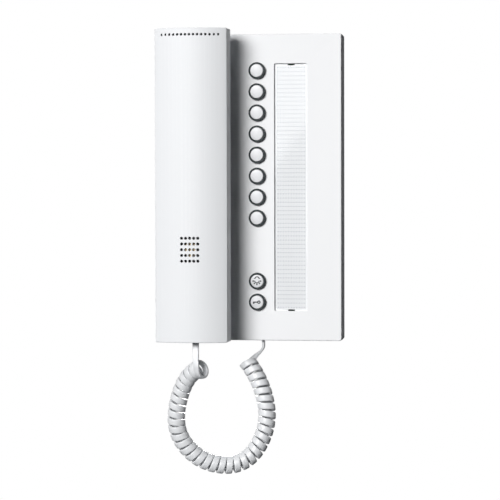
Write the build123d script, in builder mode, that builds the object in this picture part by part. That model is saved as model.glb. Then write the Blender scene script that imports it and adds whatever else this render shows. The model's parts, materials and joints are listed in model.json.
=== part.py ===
from build123d import *
import math
import os

# Wall-mounted audio intercom with a lift-off handset, in millimetres.
# X runs to the right, Z up, and the wall is the plane Y = 0.
# The unit stands out from the wall towards -Y, and heights above the wall are measured that way.

# Housing
housing_depth = 21
housing_corner_radius = 1.5
front_edge_radius = 0.8
cover_wall = 2.5

# Wall plate: a tray whose rim shows behind the cover
plate_floor_thickness = 2.5
plate_wall = 2.0
plate_depth = 8
plate_inset = 0.25
wall_screw_side_inset = 14.25
wall_screw_end_inset = 9.25
wall_screw_hole_diameter = 4.5
wall_screw_head_diameter = 8.5
cable_entry_width = 46
cable_entry_height = 32
cable_entry_offset = 22
lip_thickness = 1.5
lip_depth = 3
lip_root_height = 1.5
lip_gap = 0.3
lip_notch_depth = 6

# Button column
button_offset = 16.75
button_row_height = 15
button_top_inset = 25.95
button_bottom_inset = 27.55
call_button_count = 8
light_button_step = 10
door_button_step = 11
button_travel = 1.0
cap_diameter = 9.3
cap_height = 3.0
cap_dome_height = 0.4
cap_dome_top_share = 0.4
cap_edge_width = 0.4
cap_flange_diameter = 11.2
cap_flange_thickness = 1.0
collar_outer_diameter = 12.0
collar_inner_diameter = 9.9
collar_spigot_diameter = 11.3
collar_height = 2.5
collar_edge_width = 0.4
button_hole_diameter = 11.6
running_gap = 0.3

# Circuit board and what it carries
board_thickness = 1.6
board_top = 10.5
board_left_offset = 1.5
board_right_inset = 7
board_end_inset = 16
board_screw_side_inset = 5.75
board_screw_end_inset = 23
board_boss_diameter = 6.5
screw_hole_diameter = 3.2
screw_shank_diameter = 2.9
screw_head_diameter = 5.4
screw_head_height = 1.8
screw_slot_width = 0.8
screw_slot_depth = 0.9
pilot_hole_diameter = 3.0
pilot_depth = 5.0
switch_width = 6.2
switch_height = 3.8
switch_well_diameter = 3.6
switch_well_depth = 2.9
plunger_diameter = 3.0
plunger_end_gap = 0.5
terminal_side_gap = 2.5
terminal_end_gap = 3.5
terminal_width = 9
terminal_height = 7
terminal_count = 8
terminal_row_height = 6
terminal_screw_diameter = 3.6
terminal_screw_length = 2.2
terminal_bore_gap = 0.2
terminal_wire_hole_width = 2.6
reed_side_inset = 3
reed_diameter = 2.2
reed_length = 12
reed_lead_diameter = 0.7
reed_lead_length = 15
reed_lift_height = 1.4

# Name strip behind a clear cover
window_offset = 24.2
window_side_inset = 36.15
window_width = 23.4
window_end_inset = 21.25
window_corner_radius = 1.0
window_recess_depth = 0.9
window_cover_thickness = 1.0
window_card_thickness = 0.4
window_floor_wall = 1.6
window_gap = 0.15
window_notch_width = 5.2
window_notch_depth = 1.2

# Handset
handset_top_overhang = 2.95
handset_bottom_inset = 0.4
handset_stand_off = 15
handset_rear_depth = 4.5
handset_front_depth = 12.9
handset_crown_rise = 5.8
handset_cup_margin = 1.886
handset_wall = 2.0
handset_corner_radius = 1.0
handset_crown_edge_radius = 0.6
handset_back_edge_radius = 2.5
handset_lip_thickness = 1.2
handset_lip_depth = 1.5
handset_lip_gap = 0.2

# Ear and mouth cups, which drop into cradles in the housing
lift_angle = 12
cup_seat_depth = 8
cup_wall = 2.0
cup_floor_margin = 2.4
ear_cup_end_margin = 6
mouth_cup_end_margin = 0.4
cradle_gap = 0.6
cradle_wall = 2.0
pad_clearance = 0.3
pad_diameter = 9
pad_thickness = 1.3
pad_offset = 11

# Sound openings
top_hole_count = 15
top_hole_column_width = 2.85
top_hole_diameter = 1.5
top_hole_from_edge = 4.7
grid_columns = 5
grid_rows = 5
grid_column_width = 2.9
grid_row_height = 4.03
grid_hole_diameter = 2.1
grid_inset = 65.55
ear_hole_diameter = 2.4
ear_hole_ring_radius = 6
ear_hole_count = 6
mouth_hole_diameter = 1.6
mouth_hole_ring_radius = 2.6
mouth_hole_count = 4

# What the handset holds
ear_capsule_diameter = 29
ear_capsule_depth = 8
ear_capsule_shoulder = 4
ear_capsule_step_depth = 3
seal_thickness = 1.0
seal_width = 4
capsule_gap = 0.2
seat_ring_wall = 1.4
seat_ring_root = 0.2
ear_seat_depth = 7
microphone_diameter = 9.7
microphone_depth = 5
grommet_diameter = 14
grommet_depth = 6
mouth_seat_depth = 5
sounder_diameter = 24
sounder_depth = 4
sounder_nozzle_diameter = 12
sounder_nozzle_depth = 1.5
sounder_seat_depth = 9
magnet_diameter = 6
magnet_depth = 3
magnet_offset = 12
magnet_seat_depth = 2.5
upper_screw_inset = 62.8
lower_screw_offset = 23.3
handset_boss_diameter = 7
handset_screw_head_diameter = 5.6
handset_screw_head_height = 2.0
handset_screw_well_diameter = 6.4
handset_screw_length = 12

# Cord, its plugs and its sockets
cord_diameter = 3.6
cord_sides = 6
coil_sides = 4
coil_radius = 4.9
coil_turns = 33.5
lead_run = 4
lead_bend_share = 0.45
direction_step_share = 0.001
plug_width = 9.6
plug_depth = 6.4
plug_length = 11
plug_collar_width = 6.4
plug_collar_depth = 4.4
plug_collar_length = 3.4
plug_gap = 0.2
socket_wall = 1.5
handset_cord_offset = 2
handset_cord_depth = 6.5
base_cord_offset = 1.9
base_socket_clearance = 0.8

# One overrun serves every cut
overrun = 1.0

# Heights above the wall, from the cups' tips to the handset's crown
front_height = housing_depth
cover_inside = housing_depth - cover_wall
lift_slope = math.tan(math.radians(lift_angle))
cup_tip = front_height - cup_seat_depth
cradle_floor = cup_tip - pad_clearance - pad_thickness
handset_back = front_height + handset_stand_off
back_inside = handset_back + handset_wall
parting_height = handset_back + handset_rear_depth
handset_edge_height = parting_height + handset_front_depth
handset_crown = handset_edge_height + handset_crown_rise
cup_tip_radius = ear_capsule_diameter / 2 + capsule_gap + seat_ring_wall + cup_floor_margin
cup_root_radius = cup_tip_radius + (back_inside - cup_tip) * lift_slope
handset_width = 2 * (cup_root_radius + handset_cup_margin)

# The housing holds the handset, the button column and the name strip side by side
housing_width = handset_width + button_offset + window_offset + window_side_inset
housing_height = button_top_inset + door_button_step * button_row_height + button_bottom_inset
cover_inner_width = housing_width - 2 * cover_wall
cover_inner_height = housing_height - 2 * cover_wall
plate_width = housing_width - 2 * plate_inset
plate_height = housing_height - 2 * plate_inset
plate_inner_width = plate_width - 2 * plate_wall
plate_inner_height = plate_height - 2 * plate_wall
wall_screw_columns = housing_width - 2 * wall_screw_side_inset
wall_screw_rows = housing_height - 2 * wall_screw_end_inset

# Places across and along the wall
handset_x = (handset_width - housing_width) / 2
handset_right = handset_width - housing_width / 2
handset_top = housing_height / 2 + handset_top_overhang
handset_bottom = handset_bottom_inset - housing_height / 2
handset_length = handset_top - handset_bottom
handset_z = (handset_top + handset_bottom) / 2
ear_cup_z = handset_top - cup_root_radius - ear_cup_end_margin
mouth_cup_z = handset_bottom + cup_root_radius + mouth_cup_end_margin
cup_places_z = (ear_cup_z, mouth_cup_z)
grid_z = handset_bottom + grid_inset
screw_places = [
    (handset_x, handset_top - upper_screw_inset),
    (handset_x, grid_z + lower_screw_offset),
]
button_x = handset_right + button_offset
top_button_z = housing_height / 2 - button_top_inset
button_steps = list(range(call_button_count)) + [light_button_step, door_button_step]
button_places = [(button_x, top_button_z - step * button_row_height) for step in button_steps]
button_names = [f"call_{number + 1}" for number in range(call_button_count)] + ["light", "door"]
window_x = button_x + window_offset
window_height = housing_height - 2 * window_end_inset
board_left = handset_right - board_left_offset
board_right = housing_width / 2 - board_right_inset
board_height = housing_height - 2 * board_end_inset
board_centre = ((board_left + board_right) / 2, 0)
board_screw_columns = board_right - board_left - 2 * board_screw_side_inset
board_screw_rows = board_height - 2 * board_screw_end_inset
window_edge = window_x + window_width / 2 + window_floor_wall
terminal_x = window_edge + terminal_side_gap + terminal_width / 2
terminal_low_end = screw_head_diameter / 2 + terminal_end_gap - board_screw_rows / 2
terminal_z = terminal_low_end + terminal_count * terminal_row_height / 2
reed_x = board_left + reed_side_inset
base_cord_x = button_x + base_cord_offset
base_cord_height = cover_inside - base_socket_clearance - socket_wall - plug_depth / 2
handset_cord_x = handset_x + handset_cord_offset
handset_cord_height = parting_height + handset_cord_depth

os.makedirs("parts", exist_ok=True)


def height(distance):
    """A plane at a distance above the wall, facing the viewer, with X to the right and Z up."""
    return Plane.XZ.offset(distance)


def finish(piece, name):
    piece.part.label = name
    export_step(piece.part, f"parts/{name}.step")


def cup_cone(cup_z, low, high, growth, mode):
    """A cup's cone between two heights, larger than the cup by growth, flared by the lift angle."""
    low_radius = cup_tip_radius + (low - cup_tip) * lift_slope + growth
    high_radius = cup_tip_radius + (high - cup_tip) * lift_slope + growth
    upright = (Align.CENTER, Align.CENTER, Align.MIN)
    with Locations(height(low).location * Location((handset_x, cup_z, 0))):
        Cone(low_radius, high_radius, high - low, align=upright, mode=mode)


# Wall plate
with BuildPart() as wall_plate:
    with BuildSketch(height(0)):
        RectangleRounded(plate_width, plate_height, housing_corner_radius)
    extrude(amount=plate_depth)
    with BuildSketch(height(plate_floor_thickness)):
        RectangleRounded(plate_inner_width, plate_inner_height, housing_corner_radius)
    extrude(amount=plate_depth, mode=Mode.SUBTRACT)
    with BuildSketch(height(plate_floor_thickness)):
        with Locations(board_centre):
            with GridLocations(board_screw_columns, board_screw_rows, 2, 2):
                Circle(board_boss_diameter / 2)
    extrude(amount=board_top - board_thickness - plate_floor_thickness)
    with BuildSketch(height(board_top - board_thickness)):
        with Locations(board_centre):
            with GridLocations(board_screw_columns, board_screw_rows, 2, 2):
                Circle(pilot_hole_diameter / 2)
    extrude(amount=-pilot_depth, mode=Mode.SUBTRACT)
    with BuildSketch(height(0)):
        with Locations((cable_entry_offset, 0)):
            RectangleRounded(cable_entry_width, cable_entry_height, housing_corner_radius)
    extrude(amount=plate_floor_thickness, mode=Mode.SUBTRACT)
    with Locations(height(plate_floor_thickness)):
        with GridLocations(wall_screw_columns, wall_screw_rows, 2, 2):
            CounterSinkHole(wall_screw_hole_diameter / 2, wall_screw_head_diameter / 2, plate_floor_thickness)
finish(wall_plate, "wall_plate")

# Housing cover with its two cradles, button holes and name-strip recess
window_floor = front_height - window_recess_depth - window_cover_thickness - window_card_thickness
with BuildPart() as base_housing:
    with BuildSketch(height(plate_depth)):
        RectangleRounded(housing_width, housing_height, housing_corner_radius)
    extrude(amount=housing_depth - plate_depth)
    front_rim = base_housing.faces().sort_by(Axis.Y)[0].edges()
    fillet(front_rim, front_edge_radius)
    with BuildSketch(height(plate_depth)):
        RectangleRounded(cover_inner_width, cover_inner_height, housing_corner_radius)
    extrude(amount=cover_inside - plate_depth, mode=Mode.SUBTRACT)
    with BuildSketch(height(plate_depth)):
        RectangleRounded(cover_inner_width, cover_inner_height, housing_corner_radius)
        lip_inner_width = plate_inner_width - 2 * lip_gap - 2 * lip_thickness
        lip_inner_height = plate_inner_height - 2 * lip_gap - 2 * lip_thickness
        RectangleRounded(lip_inner_width, lip_inner_height, housing_corner_radius, mode=Mode.SUBTRACT)
    extrude(amount=lip_root_height)
    with BuildSketch(height(plate_depth)):
        lip_width = plate_inner_width - 2 * lip_gap
        lip_height = plate_inner_height - 2 * lip_gap
        RectangleRounded(lip_width, lip_height, housing_corner_radius)
        RectangleRounded(lip_inner_width, lip_inner_height, housing_corner_radius, mode=Mode.SUBTRACT)
    extrude(amount=-lip_depth)
    for cup_z in cup_places_z:
        cup_cone(cup_z, cradle_floor - cradle_wall, cover_inside, cradle_gap + cradle_wall, Mode.ADD)
    with BuildSketch(height(cover_inside)):
        with Locations((window_x, 0)):
            Rectangle(window_width + 2 * window_floor_wall, window_height + 2 * window_floor_wall)
    extrude(amount=window_floor - window_floor_wall - cover_inside)
    for cup_z in cup_places_z:
        cup_cone(cup_z, cradle_floor, front_height + overrun, cradle_gap, Mode.SUBTRACT)
    with BuildSketch(height(window_floor)):
        with Locations((window_x, 0)):
            RectangleRounded(window_width, window_height, window_corner_radius)
    extrude(amount=front_height - window_floor, mode=Mode.SUBTRACT)
    with BuildSketch(height(front_height)):
        with Locations(*button_places):
            Circle(button_hole_diameter / 2)
    extrude(amount=-cover_wall, mode=Mode.SUBTRACT)
    with BuildSketch(Plane.XY.offset(-housing_height / 2)):
        with Locations((base_cord_x, -base_cord_height)):
            Rectangle(plug_width + 2 * plug_gap, plug_depth + 2 * plug_gap)
    extrude(amount=cover_wall, mode=Mode.SUBTRACT)
    with BuildSketch(height(plate_depth - lip_depth)):
        with Locations((base_cord_x, (lip_notch_depth - cover_inner_height) / 2)):
            Rectangle(plug_width + 2 * socket_wall + 2 * running_gap, lip_notch_depth)
    extrude(amount=lip_depth + lip_root_height, mode=Mode.SUBTRACT)
finish(base_housing, "base_housing")

# Ten dark collars, one round each button
with BuildPart() as button_collars:
    with BuildSketch(height(cover_inside)):
        with Locations(*button_places):
            Circle(collar_spigot_diameter / 2)
            Circle(collar_inner_diameter / 2, mode=Mode.SUBTRACT)
    extrude(amount=cover_wall)
    with BuildSketch(height(front_height)):
        with Locations(*button_places):
            Circle(collar_outer_diameter / 2)
            Circle(collar_inner_diameter / 2, mode=Mode.SUBTRACT)
    extrude(amount=collar_height)
    collar_rims = button_collars.faces().group_by(Axis.Y)[0].edges()
    chamfer(collar_rims.filter_by(lambda rim: rim.radius > collar_spigot_diameter / 2), collar_edge_width)
finish(button_collars, "button_collars")

# Buttons: a cap with a flange behind the collar, and a plunger that presses its switch
flange_top = cover_inside - running_gap
flange_bottom = flange_top - cap_flange_thickness
cap_face = front_height + cap_height
cap_face_radius = cap_diameter / 2 - cap_edge_width
cap_top_radius = cap_face_radius * cap_dome_top_share
plunger_end = board_top + switch_height - switch_well_depth + plunger_end_gap + button_travel
for button_name, (place_x, place_z) in zip(button_names, button_places):
    with BuildPart() as button_cap:
        with BuildSketch(Plane.XY.offset(place_z)):
            with BuildLine():
                Polyline(
                    (place_x, -flange_bottom),
                    (place_x + cap_flange_diameter / 2, -flange_bottom),
                    (place_x + cap_flange_diameter / 2, -flange_top),
                    (place_x + cap_diameter / 2, -flange_top),
                    (place_x + cap_diameter / 2, -cap_face + cap_edge_width),
                    (place_x + cap_face_radius, -cap_face),
                    (place_x + cap_top_radius, -cap_face - cap_dome_height),
                    (place_x, -cap_face - cap_dome_height),
                    close=True,
                )
            make_face()
        revolve(axis=Axis((place_x, 0, place_z), (0, 1, 0)))
    finish(button_cap, f"{button_name}_button")

    with BuildPart() as button_plunger:
        with BuildSketch(height(plunger_end)):
            with Locations((place_x, place_z)):
                Circle(plunger_diameter / 2)
        extrude(amount=flange_bottom - plunger_end)
    finish(button_plunger, f"{button_name}_plunger")

# Circuit board
with BuildPart() as circuit_board:
    with BuildSketch(height(board_top - board_thickness)):
        with Locations(board_centre):
            Rectangle(board_right - board_left, board_height)
            with GridLocations(board_screw_columns, board_screw_rows, 2, 2):
                Circle(screw_hole_diameter / 2, mode=Mode.SUBTRACT)
    extrude(amount=board_thickness)
finish(circuit_board, "circuit_board")

# Screws that hold the board on the wall plate's bosses
with BuildPart() as board_screws:
    with BuildSketch(height(board_top)):
        with Locations(board_centre):
            with GridLocations(board_screw_columns, board_screw_rows, 2, 2):
                Circle(screw_head_diameter / 2)
    extrude(amount=screw_head_height)
    with BuildSketch(height(board_top)):
        with Locations(board_centre):
            with GridLocations(board_screw_columns, board_screw_rows, 2, 2):
                Circle(screw_shank_diameter / 2)
    extrude(amount=-board_thickness - pilot_depth + running_gap)
    with BuildSketch(height(board_top + screw_head_height)):
        with Locations(board_centre):
            with GridLocations(board_screw_columns, board_screw_rows, 2, 2):
                Rectangle(screw_head_diameter, screw_slot_width)
    extrude(amount=-screw_slot_depth, mode=Mode.SUBTRACT)
finish(board_screws, "board_screws")

# Push switches under the ten buttons
with BuildPart() as push_switches:
    with BuildSketch(height(board_top)):
        with Locations(*button_places):
            Rectangle(switch_width, switch_width)
    extrude(amount=switch_height)
    with BuildSketch(height(board_top + switch_height)):
        with Locations(*button_places):
            Circle(switch_well_diameter / 2)
    extrude(amount=-switch_well_depth, mode=Mode.SUBTRACT)
finish(push_switches, "push_switches")

# Terminal block for the building's wires, with its clamp screws
with BuildPart() as terminal_block:
    with BuildSketch(height(board_top)):
        with Locations((terminal_x, terminal_z)):
            Rectangle(terminal_width, terminal_row_height * terminal_count)
    extrude(amount=terminal_height)
    with BuildSketch(height(board_top + terminal_height)):
        with Locations((terminal_x, terminal_z)):
            with GridLocations(terminal_row_height, terminal_row_height, 1, terminal_count):
                Circle(terminal_screw_diameter / 2 + terminal_bore_gap)
    extrude(amount=-terminal_screw_length - terminal_bore_gap, mode=Mode.SUBTRACT)
    with BuildSketch(Plane.YZ.offset(terminal_x + terminal_width / 2)):
        with Locations((-board_top - terminal_height / 3, terminal_z)):
            with GridLocations(terminal_row_height, terminal_row_height, 1, terminal_count):
                Rectangle(terminal_wire_hole_width, terminal_wire_hole_width)
    extrude(amount=-terminal_width / 2, mode=Mode.SUBTRACT)
finish(terminal_block, "terminal_block")

with BuildPart() as terminal_screws:
    screw_top = board_top + terminal_height - terminal_bore_gap
    with BuildSketch(height(screw_top)):
        with Locations((terminal_x, terminal_z)):
            with GridLocations(terminal_row_height, terminal_row_height, 1, terminal_count):
                Circle(terminal_screw_diameter / 2)
    extrude(amount=-terminal_screw_length + terminal_bore_gap)
    with BuildSketch(height(screw_top)):
        with Locations((terminal_x, terminal_z)):
            with GridLocations(terminal_row_height, terminal_row_height, 1, terminal_count):
                Rectangle(terminal_screw_diameter, screw_slot_width)
    extrude(amount=-screw_slot_depth, mode=Mode.SUBTRACT)
finish(terminal_screws, "terminal_screws")

# Reed switch that feels the handset's magnet
with BuildPart() as reed_switch:
    reed_height = board_top + reed_lift_height
    with BuildSketch(Plane.XY.offset(mouth_cup_z - reed_length / 2)):
        with Locations((reed_x, -reed_height)):
            Circle(reed_diameter / 2)
    extrude(amount=reed_length)
    with BuildSketch(Plane.XY.offset(mouth_cup_z - reed_lead_length / 2)):
        with Locations((reed_x, -reed_height)):
            Circle(reed_lead_diameter / 2)
    extrude(amount=reed_lead_length)
    with BuildSketch(height(board_top)):
        with Locations((reed_x, mouth_cup_z)):
            with GridLocations(reed_lead_length, reed_lead_length - reed_lead_diameter, 1, 2):
                Rectangle(reed_lead_diameter / 2, reed_lead_diameter / 2)
    extrude(amount=reed_lift_height)
finish(reed_switch, "reed_switch")

# Name strip and its clear cover
with BuildPart() as name_strip:
    with BuildSketch(height(window_floor)):
        with Locations((window_x, 0)):
            Rectangle(window_width - 2 * window_corner_radius, window_height - 2 * window_corner_radius)
    extrude(amount=window_card_thickness)
finish(name_strip, "name_strip")

with BuildPart() as name_strip_cover:
    cover_width = window_width - 2 * window_gap
    cover_height = window_height - 2 * window_gap
    with BuildSketch(height(window_floor + window_card_thickness)):
        with Locations((window_x, 0)):
            RectangleRounded(cover_width, cover_height, window_corner_radius)
        notch_radius = ((window_notch_width / 2) ** 2 / window_notch_depth + window_notch_depth) / 2
        notch_rise = cover_height / 2 + notch_radius - window_notch_depth
        with Locations((window_x, notch_rise), (window_x, -notch_rise)):
            Circle(notch_radius, mode=Mode.SUBTRACT)
    extrude(amount=window_cover_thickness)
finish(name_strip_cover, "name_strip_cover")

# Soft pads on the cradle floors
with BuildPart() as cradle_pads:
    with BuildSketch(height(cradle_floor)):
        for cup_z in cup_places_z:
            with Locations((handset_x, cup_z - pad_offset), (handset_x, cup_z + pad_offset)):
                Circle(pad_diameter / 2)
    extrude(amount=pad_thickness)
finish(cradle_pads, "cradle_pads")


def crown_sketch(level, inset):
    """Outline across the handset at a level: a crowned front and straight sides down to the parting."""
    left = handset_x - handset_width / 2 + inset
    right = handset_x + handset_width / 2 - inset
    crown = handset_crown - inset
    edge = handset_edge_height - inset
    with BuildSketch(Plane.XY.offset(level)) as outline:
        with BuildLine():
            ThreePointArc((left, -edge), (handset_x, -crown), (right, -edge))
            Polyline((right, -edge), (right, -parting_height), (left, -parting_height), (left, -edge))
        make_face()
    return outline.sketch


top_hole_z = handset_top - top_hole_from_edge
grid_places = (handset_x, grid_z)
crown_inside = handset_crown - handset_wall
handset_plug_width = plug_width + 2 * plug_gap
handset_plug_depth = plug_depth + 2 * plug_gap
screw_seat = handset_back + handset_screw_head_height
boss_joint = screw_seat + handset_wall
sounder_front = crown_inside - (sounder_nozzle_diameter / 2) ** 2 / handset_crown - running_gap
sounder_body = sounder_front - sounder_nozzle_depth

# Front shell of the handset
with BuildPart() as handset_front_shell:
    extrude(crown_sketch(handset_bottom, 0), amount=handset_length)
    fillet(handset_front_shell.edges().filter_by(Axis.Y), handset_corner_radius)
    crown_edges = handset_front_shell.edges().filter_by(Axis.Z).group_by(Axis.Y)[0]
    fillet(crown_edges, handset_crown_edge_radius)
    hollow = crown_sketch(handset_bottom + handset_wall, handset_wall)
    extrude(hollow, amount=handset_length - 2 * handset_wall, mode=Mode.SUBTRACT)
    with BuildSketch(height(boss_joint)):
        with Locations(*screw_places):
            Circle(handset_boss_diameter / 2)
    extrude(amount=crown_inside - boss_joint + handset_wall / 2)
    with BuildSketch(height(boss_joint)):
        with Locations(*screw_places):
            Circle(pilot_hole_diameter / 2)
    extrude(amount=handset_screw_length, mode=Mode.SUBTRACT)
    with BuildSketch(height(crown_inside - sounder_seat_depth)):
        with Locations(grid_places):
            Circle(sounder_diameter / 2 + capsule_gap + seat_ring_wall)
            Circle(sounder_diameter / 2 + capsule_gap, mode=Mode.SUBTRACT)
    extrude(amount=sounder_seat_depth + seat_ring_root)
    with BuildSketch(height(parting_height)):
        with Locations((handset_x, top_hole_z)):
            with GridLocations(top_hole_column_width, top_hole_column_width, top_hole_count, 1):
                Circle(top_hole_diameter / 2)
        with Locations(grid_places):
            with GridLocations(grid_column_width, grid_row_height, grid_columns, grid_rows):
                Circle(grid_hole_diameter / 2)
    extrude(amount=handset_crown - parting_height, mode=Mode.SUBTRACT)
    with BuildSketch(Plane.XY.offset(handset_bottom)):
        with Locations((handset_cord_x, -handset_cord_height)):
            Rectangle(handset_plug_width, handset_plug_depth)
    extrude(amount=handset_wall, mode=Mode.SUBTRACT)
finish(handset_front_shell, "handset_front_shell")

# Rear shell of the handset with its ear and mouth cups
cup_floor = cup_tip + cup_wall
ear_place = (handset_x, ear_cup_z)
mouth_place = (handset_x, mouth_cup_z)
magnet_place = (handset_x + magnet_offset, mouth_cup_z)
with BuildPart() as handset_rear_shell:
    with BuildSketch(height(handset_back)):
        with Locations((handset_x, handset_z)):
            Rectangle(handset_width, handset_length)
    extrude(amount=parting_height - handset_back)
    fillet(handset_rear_shell.edges().filter_by(Axis.Y), handset_corner_radius)
    back_rim = handset_rear_shell.faces().sort_by(Axis.Y)[-1].edges()
    fillet(back_rim, handset_back_edge_radius)
    for cup_z in cup_places_z:
        cup_cone(cup_z, cup_tip, back_inside, 0, Mode.ADD)
    with BuildSketch(height(back_inside)):
        with Locations((handset_x, handset_z)):
            Rectangle(handset_width - 2 * handset_wall, handset_length - 2 * handset_wall)
    extrude(amount=parting_height - back_inside, mode=Mode.SUBTRACT)
    with BuildSketch(height(back_inside)):
        with Locations((handset_x, handset_z)):
            lip_inset = handset_wall + handset_lip_gap
            Rectangle(handset_width - 2 * lip_inset, handset_length - 2 * lip_inset)
            lip_inset = lip_inset + handset_lip_thickness
            Rectangle(handset_width - 2 * lip_inset, handset_length - 2 * lip_inset, mode=Mode.SUBTRACT)
    extrude(amount=parting_height + handset_lip_depth - back_inside)
    with BuildSketch(height(back_inside)):
        with Locations(*screw_places):
            Circle(handset_boss_diameter / 2 + handset_wall)
    extrude(amount=boss_joint - back_inside)
    for cup_z in cup_places_z:
        cup_cone(cup_z, cup_floor, back_inside, -cup_wall, Mode.SUBTRACT)
    with BuildSketch(height(cup_floor)):
        with Locations(ear_place):
            Circle(ear_capsule_diameter / 2 + capsule_gap + seat_ring_wall)
            Circle(ear_capsule_diameter / 2 + capsule_gap, mode=Mode.SUBTRACT)
    extrude(amount=ear_seat_depth)
    with BuildSketch(height(cup_floor)):
        with Locations(mouth_place):
            Circle(grommet_diameter / 2 + capsule_gap + seat_ring_wall)
            Circle(grommet_diameter / 2 + capsule_gap, mode=Mode.SUBTRACT)
    extrude(amount=mouth_seat_depth)
    with BuildSketch(height(cup_floor)):
        with Locations(magnet_place):
            Circle(magnet_diameter / 2 + capsule_gap + seat_ring_wall)
            Circle(magnet_diameter / 2 + capsule_gap, mode=Mode.SUBTRACT)
    extrude(amount=magnet_seat_depth)
    with BuildSketch(height(cup_tip)):
        with Locations(ear_place):
            Circle(ear_hole_diameter / 2)
            with PolarLocations(ear_hole_ring_radius, ear_hole_count):
                Circle(ear_hole_diameter / 2)
        with Locations(mouth_place):
            with PolarLocations(mouth_hole_ring_radius, mouth_hole_count):
                Circle(mouth_hole_diameter / 2)
    extrude(amount=cup_wall, mode=Mode.SUBTRACT)
    with BuildSketch(height(handset_back)):
        with Locations(*screw_places):
            Circle(handset_screw_well_diameter / 2)
    extrude(amount=handset_screw_head_height, mode=Mode.SUBTRACT)
    with BuildSketch(height(screw_seat)):
        with Locations(*screw_places):
            Circle(screw_hole_diameter / 2)
    extrude(amount=handset_wall, mode=Mode.SUBTRACT)
finish(handset_rear_shell, "handset_rear_shell")

# Earpiece: a stepped capsule on a soft ring
with BuildPart() as ear_capsule_seal:
    with BuildSketch(height(cup_floor)):
        with Locations(ear_place):
            Circle(ear_capsule_diameter / 2)
            Circle(ear_capsule_diameter / 2 - seal_width, mode=Mode.SUBTRACT)
    extrude(amount=seal_thickness)
finish(ear_capsule_seal, "ear_capsule_seal")

with BuildPart() as ear_capsule:
    with BuildSketch(height(cup_floor + seal_thickness)):
        with Locations(ear_place):
            Circle(ear_capsule_diameter / 2)
    extrude(amount=ear_capsule_depth - ear_capsule_step_depth)
    with BuildSketch(height(cup_floor + seal_thickness + ear_capsule_depth - ear_capsule_step_depth)):
        with Locations(ear_place):
            Circle(ear_capsule_diameter / 2 - ear_capsule_shoulder)
    extrude(amount=ear_capsule_step_depth)
finish(ear_capsule, "ear_capsule")

# Microphone capsule in its rubber grommet
with BuildPart() as microphone_grommet:
    with BuildSketch(height(cup_floor)):
        with Locations(mouth_place):
            Circle(grommet_diameter / 2)
            Circle(microphone_diameter / 2, mode=Mode.SUBTRACT)
    extrude(amount=grommet_depth)
finish(microphone_grommet, "microphone_grommet")

with BuildPart() as microphone_capsule:
    with BuildSketch(height(cup_floor + grommet_depth - microphone_depth)):
        with Locations(mouth_place):
            Circle(microphone_diameter / 2)
    extrude(amount=microphone_depth)
finish(microphone_capsule, "microphone_capsule")

# Call-tone sounder behind the grid of holes
with BuildPart() as call_tone_sounder:
    with BuildSketch(height(sounder_body)):
        with Locations(grid_places):
            Circle(sounder_diameter / 2)
    extrude(amount=-sounder_depth)
    with BuildSketch(height(sounder_body)):
        with Locations(grid_places):
            Circle(sounder_nozzle_diameter / 2)
    extrude(amount=sounder_nozzle_depth)
finish(call_tone_sounder, "call_tone_sounder")

# Magnet in the mouth cup
with BuildPart() as hook_magnet:
    with BuildSketch(height(cup_floor)):
        with Locations(magnet_place):
            Circle(magnet_diameter / 2)
    extrude(amount=magnet_depth)
finish(hook_magnet, "hook_magnet")

# Screws that hold the two shells together
with BuildPart() as handset_screws:
    with BuildSketch(height(screw_seat)):
        with Locations(*screw_places):
            Circle(handset_screw_head_diameter / 2)
    extrude(amount=-handset_screw_head_height + running_gap)
    with BuildSketch(height(screw_seat)):
        with Locations(*screw_places):
            Circle(screw_shank_diameter / 2)
    extrude(amount=handset_screw_length)
    with BuildSketch(height(screw_seat - handset_screw_head_height + running_gap)):
        with Locations(*screw_places):
            Rectangle(handset_screw_head_diameter, screw_slot_width)
            Rectangle(screw_slot_width, handset_screw_head_diameter)
    extrude(amount=screw_slot_depth, mode=Mode.SUBTRACT)
finish(handset_screws, "handset_screws")


def cord_fittings(name, place_x, place_height, edge_z):
    """A modular socket just inside an edge of a housing, and the plug that sits in it."""
    with BuildPart() as socket:
        with BuildSketch(Plane.XY.offset(edge_z)):
            with Locations((place_x, -place_height)):
                Rectangle(plug_width + 2 * socket_wall, plug_depth + 2 * socket_wall)
        extrude(amount=plug_length + plug_gap + socket_wall)
        with BuildSketch(Plane.XY.offset(edge_z)):
            with Locations((place_x, -place_height)):
                Rectangle(plug_width + 2 * plug_gap, plug_depth + 2 * plug_gap)
        extrude(amount=plug_length + plug_gap, mode=Mode.SUBTRACT)
    finish(socket, f"{name}_cord_socket")

    with BuildPart() as plug:
        with BuildSketch(Plane.XY.offset(edge_z)):
            with Locations((place_x, -place_height)):
                Rectangle(plug_width, plug_depth)
        extrude(amount=plug_length)
        with BuildSketch(Plane.XY.offset(edge_z)):
            with Locations((place_x, -place_height)):
                Rectangle(plug_collar_width, plug_collar_depth)
        extrude(amount=-plug_collar_length)
    finish(plug, f"{name}_cord_plug")


base_edge = -housing_height / 2 + cover_wall
handset_edge = handset_bottom + handset_wall
cord_fittings("base", base_cord_x, base_cord_height, base_edge)
cord_fittings("handset", handset_cord_x, handset_cord_height, handset_edge)

# Curly cord: the centre line of its coil is a clamped quadratic curve on these points
coil_route = [
    (-4.9, -14, -124.8),
    (6.3, -19, -138),
    (15.2, -21.5, -170),
    (-4.3, -25, -199.5),
    (-36.8, -29.5, -197),
    (-56.8, -33.5, -171),
    (-46.3, -37.5, -130.5),
    (-32.8, -44, -129),
]
with BuildLine() as coil_axis:
    control = [Vector(*point) for point in coil_route]
    joints = [(one + two) / 2 for one, two in zip(control[1:-2], control[2:-1])]
    ends = [control[0]] + joints + [control[-1]]
    for start, corner, end in zip(ends, control[1:-1], ends[1:]):
        Bezier(start, corner, end)
coil_centre = coil_axis.wire()


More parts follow.
